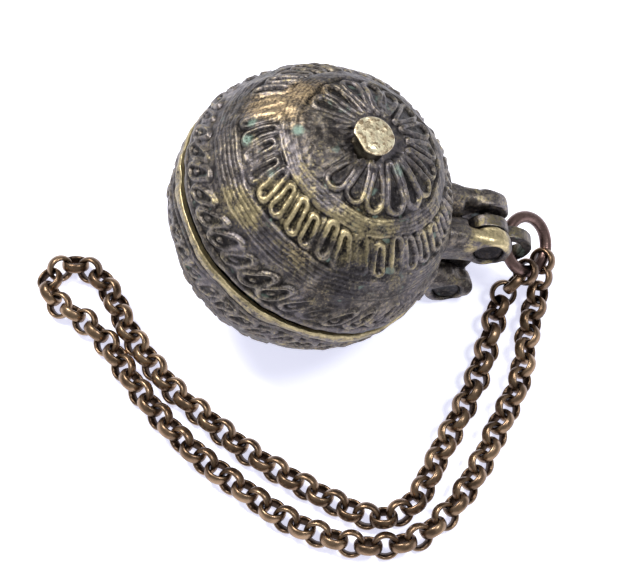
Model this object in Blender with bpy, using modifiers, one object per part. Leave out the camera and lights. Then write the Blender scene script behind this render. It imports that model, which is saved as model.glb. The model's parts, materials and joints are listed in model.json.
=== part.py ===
"""Hinged brass ball box with a belcher chain, lying on a table.

Two cast half balls, a lid and a bowl, each carry a pair of lugs. A loose link joins the two pairs with a
pin through each, and its outer eye holds the ring that both ends of the chain hang on. The box lies on the
bowl and the bowl's lugs, so the ball's axis leans towards the hinge. Metres, +Z up, the table is Z = 0,
+X points from the ball to the hinge, and the origin is under the middle of the box and its ring.

The "ball frame" has its origin at the ball's centre, +Z through the knob and +X towards the hinge.
"""

import math

import bmesh
import bpy
from mathutils import Matrix, Vector

# Ball
BALL_RADIUS = 0.0273
BALL_WALL = 0.0022
SEAM_GAP = 0.0004
LID_AJAR = math.radians(1.1)

# Clearance between pieces that touch or run on each other
GAP = 0.0003

# Lugs, in pairs on the lid and on the bowl
HINGE_STANDOFF = 0.0069
HINGE_RADIUS = BALL_RADIUS + HINGE_STANDOFF
HINGE_HEIGHT = 0.0080
LUG_RADIUS = 0.0046
LUG_INNER = 0.0024
LUG_WIDTH = 0.0040
LUG_ROUNDING = 0.0009
ARM_HEIGHT = 0.0062

# Hinge pins
PIN_RADIUS = 0.0013
PIN_HEAD_RADIUS = 0.0026
PIN_HEAD_HEIGHT = 0.0007
PIN_RECESS_DEPTH = 0.0011

# Link between the two pins
LINK_THICKNESS = 0.0026
LINK_KNUCKLE_RADIUS = 0.0042
LINK_WEB_WIDTH = 0.0050
EYE_STANDOFF = 0.0062
EYE_RADIUS_FROM_AXIS = HINGE_RADIUS + EYE_STANDOFF
EYE_HEIGHT = 0.0052
EYE_CLEARANCE = 0.0018
EYE_WALL = 0.0019

# Ring in the link's eye: how far its wire slants from the eye's axis, and how far it droops
RING_RADIUS = 0.0054
RING_WIRE_RADIUS = 0.0012
RING_SLANT = math.radians(29)
RING_DROOP = math.radians(37.4)
EYE_HOLE_RADIUS = RING_WIRE_RADIUS + EYE_CLEARANCE

# Knob: a flat stud head on a neck, its shank peened over inside the lid. It stands a little off the lid's
# pole: how far, and which way round from the hinge
KNOB_LEAN = math.radians(7.7)
KNOB_BEARING = math.radians(-140)
KNOB_HEAD_RADIUS = 0.0039
KNOB_HEAD_HEIGHT = 0.0014
KNOB_NECK_RADIUS = 0.0027
KNOB_NECK_HEIGHT = 0.0012
KNOB_SHANK_RADIUS = 0.0013
KNOB_TAIL_RADIUS = 0.0024
KNOB_TAIL_HEIGHT = 0.0009
KNOB_CHAMFER = 0.0003

# Chain: one belcher chain that runs out, turns back and returns to the ring
LINK_RADIUS = 0.0022
LINK_WIRE_RADIAL = 0.00055
LINK_WIRE_AXIAL = 0.0010
CHAIN_DIAMETER = 0.0050
CHAIN_STEP = 0.0040
END_LINK_ANGLES = {"inner": math.radians(88), "outer": math.radians(142)}
# Route along the table, from beside the inner end link to beside the outer one (x, y, z)
CHAIN_ROUTE = (
    (0.0283, -0.0044, 0.0036),
    (0.0259, -0.0111, 0.0028),
    (0.0241, -0.0171, 0.0026),
    (0.0209, -0.0258, 0.0026),
    (0.0166, -0.0343, 0.0026),
    (0.0127, -0.0416, 0.0026),
    (0.0087, -0.0493, 0.0026),
    (0.0042, -0.0528, 0.0026),
    (-0.0002, -0.0531, 0.0026),
    (-0.0052, -0.0510, 0.0026),
    (-0.0117, -0.0471, 0.0026),
    (-0.0182, -0.0428, 0.0026),
    (-0.0248, -0.0378, 0.0026),
    (-0.0315, -0.0315, 0.0026),
    (-0.0374, -0.0258, 0.0026),
    (-0.0423, -0.0191, 0.0026),
    (-0.0468, -0.0119, 0.0026),
    (-0.0505, -0.0033, 0.0026),
    (-0.0542, 0.0014, 0.0026),
    (-0.0587, 0.0032, 0.0026),
    (-0.0626, -0.0002, 0.0026),
    (-0.0614, -0.0052, 0.0026),
    (-0.0563, -0.0090, 0.0026),
    (-0.0506, -0.0152, 0.0026),
    (-0.0452, -0.0241, 0.0026),
    (-0.0383, -0.0335, 0.0026),
    (-0.0315, -0.0408, 0.0026),
    (-0.0239, -0.0472, 0.0026),
    (-0.0156, -0.0535, 0.0026),
    (-0.0072, -0.0574, 0.0026),
    (0.0002, -0.0589, 0.0026),
    (0.0077, -0.0577, 0.0026),
    (0.0146, -0.0523, 0.0026),
    (0.0204, -0.0438, 0.0026),
    (0.0252, -0.0345, 0.0026),
    (0.0298, -0.0250, 0.0026),
    (0.0318, -0.0162, 0.0026),
    (0.0340, -0.0084, 0.0027),
    (0.0353, -0.0050, 0.0030),
)

# Facets of the round pieces
ARC_STEPS = 13
TURN_STEPS = 44
BARREL_STEPS = 28
SHANK_STEPS = 16

# The box rests on the ball and the bowl's lugs: the tilt that puts both on the table
TILT = math.atan2(HINGE_RADIUS, HINGE_HEIGHT) - math.acos(
    (BALL_RADIUS - LUG_RADIUS) / math.hypot(HINGE_RADIUS, HINGE_HEIGHT)
)
PIN_HOLE_RADIUS = PIN_RADIUS + GAP
RECESS_RADIUS = PIN_HEAD_RADIUS + GAP
LUG_OUTER = LUG_INNER + LUG_WIDTH
# The link lies against the near lug, one clearance off it
LINK_MIDDLE_Y = -(LUG_INNER - GAP - LINK_THICKNESS / 2)


def ring_directions():
    """The way from the eye to the ring's centre, the wire's direction in the eye, and the ring's normal."""
    wire = Vector((0, -math.cos(RING_SLANT), -math.sin(RING_SLANT)))
    down = Vector((0, math.sin(RING_SLANT), -math.cos(RING_SLANT)))
    centre = math.cos(RING_DROOP) * Vector((1, 0, 0)) + math.sin(RING_DROOP) * down
    return centre, wire, centre.cross(wire)


def ball_offset():
    """The ball centre's X that puts the origin midway between the ball's far side and the ring's end."""
    centre, _, normal = ring_directions()
    eye_x = EYE_RADIUS_FROM_AXIS * math.cos(TILT) + EYE_HEIGHT * math.sin(TILT)
    reach = RING_RADIUS * (centre.x + math.sqrt(1 - normal.x**2)) + RING_WIRE_RADIUS
    return -(eye_x + reach - BALL_RADIUS) / 2


def clear_scene():
    for thing in list(bpy.data.objects):
        bpy.data.objects.remove(thing, do_unlink=True)


def collection(name):
    made = bpy.data.collections.new(name)
    bpy.context.scene.collection.children.link(made)
    return made


def material(name, colour, roughness, metallic=1.0):
    made = bpy.data.materials.new(name)
    made.use_nodes = True
    shader = made.node_tree.nodes["Principled BSDF"]
    shader.inputs["Base Color"].default_value = (*colour, 1)
    shader.inputs["Roughness"].default_value = roughness
    shader.inputs["Metallic"].default_value = metallic
    return made


def empty(name, location, parent=None, turn=0.0):
    """An empty that holds pieces, turned about Y."""
    made = bpy.data.objects.new(name, None)
    made.location = location
    made.rotation_euler = (0, turn, 0)
    made.parent = parent
    made.empty_display_size = 0.01
    PARTS.objects.link(made)
    return made


def place(mesh, name, parent, location=(0, 0, 0), finish=None):
    """A sub-part with a finish, or a cutter without one."""
    made = bpy.data.objects.new(name, mesh)
    made.parent = parent
    made.location = location
    if finish:
        mesh.materials.append(finish)
        PARTS.objects.link(made)
    else:
        made.hide_render = True
        made.display_type = "WIRE"
        CUTTERS.objects.link(made)
    return made


def turned(profile, name, steps):
    """A mesh of an outline in XZ, for screw() to turn about Z."""
    mesh = bpy.data.meshes.new(name)
    edges = [(i, i + 1) for i in range(len(profile) - 1)]
    if profile[0][0] > 0:
        edges.append((len(profile) - 1, 0))
    mesh.from_pydata([(x, 0, z) for x, z in profile], edges, [])
    mesh["steps"] = steps
    return mesh


def screw(thing):
    """Turns the piece's profile about its Z axis."""
    made = thing.modifiers.new("turned", "SCREW")
    made.steps = made.render_steps = thing.data["steps"]
    made.use_merge_vertices = True
    made.merge_threshold = 0.00001
    made.use_smooth_shade = False


def arc(radius, start, end, steps=ARC_STEPS):
    """Points (x, z) round the origin from one height angle to another."""
    angles = [start + (end - start) * i / steps for i in range(steps + 1)]
    return [(radius * math.cos(a), radius * math.sin(a)) for a in angles]


def barrel(name, radius, low_y, high_y, centre, parent, steps=BARREL_STEPS, rounding=0.0):
    """A cutter or a piece to join: a cylinder along Y."""
    mesh = bpy.data.meshes.new(name)
    shape = bmesh.new()
    bmesh.ops.create_cone(
        shape, cap_ends=True, segments=steps, radius1=radius, radius2=radius, depth=high_y - low_y
    )
    turn = Matrix.Rotation(math.pi / 2, 4, "X")
    bmesh.ops.transform(shape, matrix=turn, verts=shape.verts)
    shape.to_mesh(mesh)
    shape.free()
    middle = (centre[0], (low_y + high_y) / 2, centre[1])
    made = place(mesh, name, parent, middle)
    if rounding:
        edge = made.modifiers.new("rounded", "BEVEL")
        edge.width = rounding
        edge.segments = 2
        edge.angle_limit = math.radians(60)
    return made


def bar(name, start, end, height, low_y, high_y, parent):
    """A cutter or a piece to join: a straight bar between two points (x, z), its ends square."""
    mesh = bpy.data.meshes.new(name)
    along = Vector((end[0] - start[0], 0, end[1] - start[1]))
    shape = bmesh.new()
    bmesh.ops.create_cube(shape, size=1)
    size = Matrix.Diagonal((along.length, high_y - low_y, height, 1))
    turn = Matrix.Rotation(-math.atan2(along.z, along.x), 4, "Y")
    bmesh.ops.transform(shape, matrix=turn @ size, verts=shape.verts)
    shape.to_mesh(mesh)
    shape.free()
    middle = ((start[0] + end[0]) / 2, (low_y + high_y) / 2, (start[1] + end[1]) / 2)
    return place(mesh, name, parent, middle)


def combine(target, tool, operation):
    made = target.modifiers.new(tool.name, "BOOLEAN")
    made.operation = operation
    made.solver = "EXACT"
    made.object = tool


def add_lugs(shell, parent, origin, height):
    """Joins a pair of lugs to a shell, and drills them. origin is the ball's centre in the parent's frame."""
    pin = (origin[0] + HINGE_RADIUS, origin[1] + height)
    reach = math.hypot(HINGE_RADIUS, height)
    root = (BALL_RADIUS - BALL_WALL / 2) / reach
    foot = (origin[0] + HINGE_RADIUS * root, origin[1] + height * root)
    for side in (-1, 1):
        low, high = sorted((side * LUG_INNER, side * LUG_OUTER))
        tag = f"{shell.name}_lug_{'near' if side < 0 else 'far'}"
        arm = bar(f"{tag}_arm", foot, pin, ARM_HEIGHT, low + GAP, high - GAP, parent)
        combine(shell, arm, "UNION")
        head = barrel(f"{tag}_head", LUG_RADIUS, low, high, pin, parent, rounding=LUG_ROUNDING)
        combine(shell, head, "UNION")
    span = LUG_OUTER + GAP
    hole = barrel(f"{shell.name}_hole", PIN_HOLE_RADIUS, -span, span, pin, parent, SHANK_STEPS)
    combine(shell, hole, "DIFFERENCE")
    for side in (-1, 1):
        low, high = sorted((side * (LUG_OUTER - PIN_RECESS_DEPTH), side * span))
        tag = f"{shell.name}_recess_{'near' if side < 0 else 'far'}"
        recess = barrel(tag, RECESS_RADIUS, low, high, pin, parent)
        combine(shell, recess, "DIFFERENCE")


def make_bowl():
    rim = SEAM_GAP / 2
    inner_radius = BALL_RADIUS - BALL_WALL
    inner = arc(inner_radius, -math.pi / 2, -math.asin(rim / inner_radius))
    outer = arc(BALL_RADIUS, -math.asin(rim / BALL_RADIUS), -math.pi / 2)
    profile = [(0, -inner_radius)] + inner[1:] + outer[:-1] + [(0, -BALL_RADIUS)]
    shell = place(turned(profile, "bowl_shell", TURN_STEPS), "bowl_shell", BALL, finish=PATINA)
    screw(shell)
    add_lugs(shell, BALL, (0, 0), -HINGE_HEIGHT)


def make_lid():
    """The lid hangs on its pivot, slightly ajar, so its frame is the ball frame moved to the upper pin."""
    rim = SEAM_GAP / 2
    inner_radius = BALL_RADIUS - BALL_WALL
    outer = arc(BALL_RADIUS, math.pi / 2, math.asin(rim / BALL_RADIUS))
    inner = arc(inner_radius, math.asin(rim / inner_radius), math.pi / 2)
    profile = [(0, BALL_RADIUS)] + outer[1:] + inner[:-1] + [(0, inner_radius)]
    shell = place(
        turned(profile, "lid_shell", TURN_STEPS), "lid_shell", LID_PIVOT,
        (-HINGE_RADIUS, 0, -HINGE_HEIGHT), PATINA,
    )
    screw(shell)
    add_lugs(shell, LID_PIVOT, (-HINGE_RADIUS, -HINGE_HEIGHT), HINGE_HEIGHT)
    drill_knob_hole(shell)


def drill_knob_hole(shell):
    """A hole through the lid for the knob's shank, along the knob's own axis."""
    low = BALL_RADIUS - 2 * BALL_WALL
    high = BALL_RADIUS + BALL_WALL
    profile = [
        (0, high),
        (KNOB_SHANK_RADIUS + GAP, high),
        (KNOB_SHANK_RADIUS + GAP, low),
        (0, low),
    ]
    hole = place(
        turned(profile, "knob_hole", SHANK_STEPS), "knob_hole", LID_PIVOT,
        (-HINGE_RADIUS, 0, -HINGE_HEIGHT),
    )
    hole.rotation_euler = (0, KNOB_LEAN, KNOB_BEARING)
    screw(hole)
    combine(shell, hole, "DIFFERENCE")


def make_knob():
    foot = BALL_RADIUS + GAP
    inside = BALL_RADIUS - BALL_WALL - GAP
    top = foot + KNOB_NECK_HEIGHT + KNOB_HEAD_HEIGHT
    profile = [
        (0, top),
        (KNOB_HEAD_RADIUS - KNOB_CHAMFER, top),
        (KNOB_HEAD_RADIUS, top - KNOB_CHAMFER),
        (KNOB_HEAD_RADIUS, foot + KNOB_NECK_HEIGHT),
        (KNOB_NECK_RADIUS, foot + KNOB_NECK_HEIGHT - KNOB_CHAMFER),
        (KNOB_NECK_RADIUS, foot),
        (KNOB_SHANK_RADIUS, foot),
        (KNOB_SHANK_RADIUS, inside),
        (KNOB_TAIL_RADIUS, inside - KNOB_CHAMFER),
        (KNOB_TAIL_RADIUS - KNOB_CHAMFER, inside - KNOB_TAIL_HEIGHT),
        (0, inside - KNOB_TAIL_HEIGHT),
    ]
    knob = place(
        turned(profile, "lid_knob", BARREL_STEPS), "lid_knob", LID_PIVOT,
        (-HINGE_RADIUS, 0, -HINGE_HEIGHT), WORN,
    )
    knob.rotation_euler = (0, KNOB_LEAN, KNOB_BEARING)
    screw(knob)


def make_pin(name, parent, location):
    """A pin along Y with a peened head in each lug's recess."""
    end = LUG_OUTER - PIN_RECESS_DEPTH + GAP + PIN_HEAD_HEIGHT
    neck = end - PIN_HEAD_HEIGHT
    half = [(0, end), (PIN_HEAD_RADIUS, end), (PIN_HEAD_RADIUS, neck), (PIN_RADIUS, neck)]
    profile = half + [(x, -z) for x, z in reversed(half)]
    pin = place(turned(profile, name, SHANK_STEPS), name, parent, location, PIN_METAL)
    pin.rotation_euler = (math.pi / 2, 0, 0)
    screw(pin)


def make_link():
    """The link's plate: a web between two knuckles, and an eye with its own short arm."""
    low = LINK_MIDDLE_Y - LINK_THICKNESS / 2
    high = LINK_MIDDLE_Y + LINK_THICKNESS / 2
    upper = (HINGE_RADIUS, HINGE_HEIGHT)
    lower = (HINGE_RADIUS, -HINGE_HEIGHT)
    eye = (EYE_RADIUS_FROM_AXIS, EYE_HEIGHT)
    mesh = bpy.data.meshes.new("hinge_link")
    shape = bmesh.new()
    bmesh.ops.create_cube(shape, size=1)
    size = Matrix.Diagonal((LINK_WEB_WIDTH, LINK_THICKNESS, 2 * HINGE_HEIGHT, 1))
    bmesh.ops.transform(shape, matrix=size, verts=shape.verts)
    shape.to_mesh(mesh)
    shape.free()
    link = place(mesh, "hinge_link", BALL, (HINGE_RADIUS, LINK_MIDDLE_Y, 0), LINK_METAL)
    for tag, centre in (("upper", upper), ("lower", lower)):
        knuckle = barrel(f"link_knuckle_{tag}", LINK_KNUCKLE_RADIUS, low, high, centre, BALL)
        combine(link, knuckle, "UNION")
    boss = barrel("link_eye", EYE_HOLE_RADIUS + EYE_WALL, low, high, eye, BALL)
    combine(link, boss, "UNION")
    for tag, centre in (("upper", upper), ("lower", lower)):
        hole = barrel(f"link_hole_{tag}", PIN_HOLE_RADIUS, low - GAP, high + GAP, centre, BALL, SHANK_STEPS)
        combine(link, hole, "DIFFERENCE")
    hole = barrel("link_eye_hole", EYE_HOLE_RADIUS, low - GAP, high + GAP, eye, BALL)
    combine(link, hole, "DIFFERENCE")


def torus(name, radius, wire, finish, segments, sides):
    """A ring in XY round the local origin, its wire wire[0] across and wire[1] along its axis."""
    bpy.ops.mesh.primitive_torus_add(
        major_radius=radius, minor_radius=wire[0], major_segments=segments, minor_segments=sides
    )
    made = bpy.context.object
    made.name = made.data.name = name
    for vert in made.data.vertices:
        vert.co.z *= wire[1] / wire[0]
    made.data.materials.append(finish)
    for holder in list(made.users_collection):
        holder.objects.unlink(made)
    PARTS.objects.link(made)
    return made


def make_ring():
    """The ring, and the chain's two end links threaded on it, all carried by the eye's pivot."""
    to_centre, wire, normal = ring_directions()
    turn = Matrix((to_centre, wire, normal)).transposed()
    ring = torus("chain_ring", RING_RADIUS, (RING_WIRE_RADIUS, RING_WIRE_RADIUS), RING_METAL, 36, 12)
    ring.parent = RING_PIVOT
    ring.matrix_local = Matrix.Translation(RING_RADIUS * to_centre) @ turn.to_4x4()
    slack = LINK_RADIUS - LINK_WIRE_RADIAL - RING_WIRE_RADIUS - GAP
    for tag, angle in END_LINK_ANGLES.items():
        outward = -math.cos(angle) * to_centre + math.sin(angle) * wire
        tangent = normal.cross(outward)
        middle = RING_RADIUS * (to_centre + outward) + slack * outward
        frame = Matrix((outward, tangent.cross(outward), tangent)).transposed()
        name = f"chain_end_link_{tag}"
        link = torus(name, LINK_RADIUS, (LINK_WIRE_RADIAL, LINK_WIRE_AXIAL), COPPER, 24, 10)
        link.parent = RING_PIVOT
        link.matrix_local = Matrix.Translation(middle) @ frame.to_4x4()


def smooth_route(points, step):
    """Points a step apart along a Catmull-Rom curve through the route's points."""
    knots = [Vector(p) for p in points]
    knots = [2 * knots[0] - knots[1]] + knots + [2 * knots[-1] - knots[-2]]
    fine = []
    for a, b, c, d in zip(knots, knots[1:], knots[2:], knots[3:]):
        for i in range(16):
            t = i / 16
            curve = 2 * b + (c - a) * t + (2 * a - 5 * b + 4 * c - d) * t**2 + (3 * b - 3 * c + d - a) * t**3
            fine.append(curve / 2)
    fine.append(knots[-2])
    lengths = [0.0]
    for a, b in zip(fine, fine[1:]):
        lengths.append(lengths[-1] + (b - a).length)
    count = round(lengths[-1] / step)
    spaced, k = [], 0
    for i in range(count + 1):
        target = lengths[-1] * i / count
        while k < len(lengths) - 2 and lengths[k + 1] < target:
            k += 1
        share = (target - lengths[k]) / (lengths[k + 1] - lengths[k])
        spaced.append(fine[k].lerp(fine[k + 1], share))
    return spaced


def make_chain():
    """The chain's run from one end link round to the other, as a plain tube."""
    points = smooth_route(CHAIN_ROUTE, CHAIN_STEP)
    curve = bpy.data.curves.new("chain", "CURVE")
    curve.dimensions = "3D"
    curve.bevel_depth = CHAIN_DIAMETER / 2
    curve.bevel_resolution = 2
    curve.use_fill_caps = True
    spline = curve.splines.new("POLY")
    spline.points.add(len(points) - 1)
    for knot, point in zip(spline.points, points):
        knot.co = (*point, 1)
    curve.materials.append(COPPER)
    PARTS.objects.link(bpy.data.objects.new("chain", curve))


clear_scene()
PARTS = collection("hinged_ball_box")
CUTTERS = collection("cutters")
PATINA = material("patinated_brass", (0.11, 0.09, 0.065), 0.45)
WORN = material("worn_brass", (0.55, 0.45, 0.22), 0.35)
LINK_METAL = material("link_metal", (0.14, 0.13, 0.11), 0.45)
PIN_METAL = material("pin_metal", (0.09, 0.07, 0.05), 0.5)
RING_METAL = material("ring_metal", (0.14, 0.09, 0.07), 0.4)
COPPER = material("antiqued_copper", (0.28, 0.15, 0.08), 0.38)

BALL = empty("ball_seat", (ball_offset(), 0, BALL_RADIUS), turn=TILT)
LID_PIVOT = empty("lid_pivot", (HINGE_RADIUS, 0, HINGE_HEIGHT), BALL, turn=LID_AJAR)
bpy.context.view_layer.update()
EYE_CENTRE = BALL.matrix_world @ Vector((EYE_RADIUS_FROM_AXIS, LINK_MIDDLE_Y, EYE_HEIGHT))
RING_PIVOT = empty("ring_pivot", EYE_CENTRE)

make_bowl()
make_lid()
make_knob()
make_pin("hinge_pin_lower", BALL, (HINGE_RADIUS, 0, -HINGE_HEIGHT))
make_pin("hinge_pin_upper", LID_PIVOT, (0, 0, 0))
make_link()
make_ring()
make_chain()
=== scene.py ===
"""Looks of the hinged brass ball box with its belcher chain.

The ornament is thread-like: rows of wire loops and ruled bands laid on each half ball, worn smooth in
places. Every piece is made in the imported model's own frame, in metres, with +Z up.
In the ball frame the origin is the ball's centre, +Z goes through the knob and +X towards the hinge.
"""
import json
import math
from math import cos, pi, radians, sin

import bmesh
import bpy
import numpy as np
from mathutils import Matrix, Vector


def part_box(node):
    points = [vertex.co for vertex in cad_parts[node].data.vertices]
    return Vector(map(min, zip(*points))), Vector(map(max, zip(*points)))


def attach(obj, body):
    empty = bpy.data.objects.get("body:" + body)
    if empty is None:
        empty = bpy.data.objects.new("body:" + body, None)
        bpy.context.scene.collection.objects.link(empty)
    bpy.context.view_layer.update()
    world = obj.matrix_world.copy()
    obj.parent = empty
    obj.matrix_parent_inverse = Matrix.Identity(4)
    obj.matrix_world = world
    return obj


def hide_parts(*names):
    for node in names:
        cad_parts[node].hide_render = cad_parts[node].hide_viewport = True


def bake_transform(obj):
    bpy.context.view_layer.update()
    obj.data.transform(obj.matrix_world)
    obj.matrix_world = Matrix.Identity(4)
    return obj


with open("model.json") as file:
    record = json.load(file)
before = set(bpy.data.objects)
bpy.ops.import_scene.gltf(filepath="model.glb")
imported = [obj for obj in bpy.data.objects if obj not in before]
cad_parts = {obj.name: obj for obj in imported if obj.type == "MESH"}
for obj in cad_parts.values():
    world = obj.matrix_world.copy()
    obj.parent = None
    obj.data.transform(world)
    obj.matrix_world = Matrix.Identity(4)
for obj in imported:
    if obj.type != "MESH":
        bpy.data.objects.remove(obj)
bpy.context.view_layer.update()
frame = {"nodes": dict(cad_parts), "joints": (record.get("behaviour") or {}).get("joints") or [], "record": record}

MM = 0.001

# ---- places, read from the frame

JOINTS = {joint["name"]: joint for joint in frame["joints"]}
KNOB = next(m for m in frame["record"]["mounts"] if m["name"] == "knob_top")


def box_middle(node):
    low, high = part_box(node)
    return (low + high) / 2


UPPER_PIN = Vector(JOINTS["lid_hinge"]["pos_m"])
LOWER_PIN = box_middle("hinge_pin_lower")
EYE = Vector(JOINTS["ring_swing"]["pos_m"])
BALL_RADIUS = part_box("bowl_shell")[1].y
HINGE_HEIGHT = (UPPER_PIN - LOWER_PIN).length / 2
TILT = math.atan2(UPPER_PIN.x - LOWER_PIN.x, UPPER_PIN.z - LOWER_PIN.z)
# The lid rests this much ajar on its stop
LID_AJAR = radians(1.1)
PIN_MIDDLE = (UPPER_PIN + LOWER_PIN) / 2
HINGE_RADIUS = (BALL_RADIUS - PIN_MIDDLE.z) / sin(TILT)
LUG_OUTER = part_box("hinge_pin_upper")[1].y + 0.1 * MM


def ball_frame(angle, anchor, local):
    """The frame that is turned about Y by an angle and holds the local point at the anchor."""
    turn = Matrix.Rotation(angle, 4, "Y")
    return Matrix.Translation(anchor) @ turn @ Matrix.Translation(-Vector(local))


BOWL_FRAME = ball_frame(TILT, UPPER_PIN, (HINGE_RADIUS, 0, HINGE_HEIGHT))
LID_FRAME = ball_frame(TILT + LID_AJAR, UPPER_PIN, (HINGE_RADIUS, 0, HINGE_HEIGHT))
KNOB_TOP = (Vector(KNOB["pos_m"]) - LID_FRAME.translation).length
KNOB_AXIS = LID_FRAME.to_3x3().inverted() @ Vector(KNOB["axis"])
KNOB_FRAME = LID_FRAME @ Vector((0, 0, 1)).rotation_difference(KNOB_AXIS).to_matrix().to_4x4()
BALL_CENTRE = BOWL_FRAME.translation

# ---- camera

AZIMUTH = radians(-1.5)
ELEVATION = radians(61)
CAMERA_DISTANCE = 0.38
LENS = 112.6
AIM_RIGHT = 0.0019
AIM_DOWN = 0.0162


def make_camera():
    right = Vector((cos(AZIMUTH), sin(AZIMUTH), 0))
    ahead = Vector((-sin(AZIMUTH), cos(AZIMUTH), 0))
    view = cos(ELEVATION) * ahead - sin(ELEVATION) * Vector((0, 0, 1))
    up = right.cross(view)
    data = bpy.data.cameras.new("camera")
    data.lens = LENS
    data.sensor_width = 36
    data.clip_start = 0.01
    camera = bpy.data.objects.new("camera", data)
    aim = BALL_CENTRE + AIM_RIGHT * right - AIM_DOWN * up
    camera.matrix_world = Matrix((right, up, -view)).transposed().to_4x4()
    camera.location = aim - CAMERA_DISTANCE * view
    bpy.context.scene.collection.objects.link(camera)
    bpy.context.scene.camera = camera


make_camera()

# ---- small helpers


def ripple(points, size, seed, waves=36):
    """Smooth noise about 1 high over points (n, 3), its bumps about size metres across."""
    rng = np.random.default_rng(seed)
    ways = rng.normal(size=(waves, 3))
    ways *= (pi / size) * rng.uniform(0.6, 1.3, (waves, 1)) / np.linalg.norm(ways, axis=1, keepdims=True)
    phases = rng.uniform(0, 2 * pi, waves)
    total = np.zeros(len(points))
    for way, phase in zip(ways, phases):
        total += np.sin(points @ way + phase)
    return total * math.sqrt(2 / waves)


def smoothstep(value, low, high):
    share = np.clip((value - low) / (high - low), 0, 1)
    return share * share * (3 - 2 * share)


def unit(vector):
    return vector / np.linalg.norm(vector)


def boxy(wave, power):
    """A sine or cosine made squarer, for a section between a circle and a box."""
    return np.sign(wave) * np.abs(wave) ** power


def scene_object(name, data):
    thing = bpy.data.objects.new(name, data)
    bpy.context.scene.collection.objects.link(thing)
    return thing


def linked(mesh, name, material, body, slot, *nodes):
    """A finished piece: its mesh is in the row frame, it rides on a body and stands for CAD nodes."""
    mesh.name = name
    mesh.materials.clear()
    mesh.materials.append(material)
    mesh.shade_smooth()
    piece = scene_object(name, mesh)
    if body:
        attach(piece, body)
    if nodes:
        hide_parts(*nodes)
    return piece


def vertex_places(mesh):
    places = np.empty(len(mesh.vertices) * 3)
    mesh.vertices.foreach_get("co", places)
    return places.reshape(-1, 3)


def vertex_normals(mesh):
    normals = np.empty(len(mesh.vertices) * 3, np.float32)
    mesh.vertices.foreach_get("normal", normals)
    return normals.reshape(-1, 3)


def put_places(mesh, places):
    mesh.vertices.foreach_set("co", np.ascontiguousarray(places, float).ravel())
    mesh.update()


def paint(mesh, **masks):
    """Writes masks from 0 to 1 on a mesh's points, for its material to read."""
    for name, values in masks.items():
        layer = mesh.attributes.new(name, "FLOAT", "POINT")
        layer.data.foreach_set("value", np.broadcast_to(values, len(mesh.vertices)).astype(np.float32))


def mesh_from_grid(name, places, wrap_rows, flip=False, caps=False):
    """A mesh of rows of points (rows, columns, 3), whose columns go all the way round.
    caps closes the first and last rows with a fan."""
    rows, columns, _ = places.shape
    down = np.arange(rows if wrap_rows else rows - 1)
    across = np.arange(columns)
    i, j = np.meshgrid(down, across, indexing="ij")
    below, beside = (i + 1) % rows, (j + 1) % columns
    corners = [i * columns + j, below * columns + j, below * columns + beside, i * columns + beside]
    quads = np.stack(corners, axis=-1).reshape(-1, 4)
    points = places.reshape(-1, 3)
    faces = [tuple(q) for q in (quads[:, ::-1] if flip else quads).tolist()]
    if caps:
        for row, turn in ((0, not flip), (rows - 1, flip)):
            hub = len(points)
            points = np.vstack((points, places[row].mean(0)))
            start = row * columns
            for k in range(columns):
                a, b = start + k, start + (k + 1) % columns
                faces.append((hub, a, b) if turn else (hub, b, a))
    mesh = bpy.data.meshes.new(name)
    mesh.from_pydata(points.tolist(), [], faces)
    return mesh


def outward(mesh):
    """The same mesh with its faces turned to face out."""
    shape = bmesh.new()
    shape.from_mesh(mesh)
    bmesh.ops.recalc_face_normals(shape, faces=shape.faces)
    shape.to_mesh(mesh)
    shape.free()
    return mesh


def evaluated(thing):
    """The mesh of an object with its modifiers applied; the object goes."""
    graph = bpy.context.evaluated_depsgraph_get()
    mesh = bpy.data.meshes.new_from_object(thing.evaluated_get(graph))
    bpy.data.objects.remove(thing, do_unlink=True)
    return mesh


# ---- materials


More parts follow.
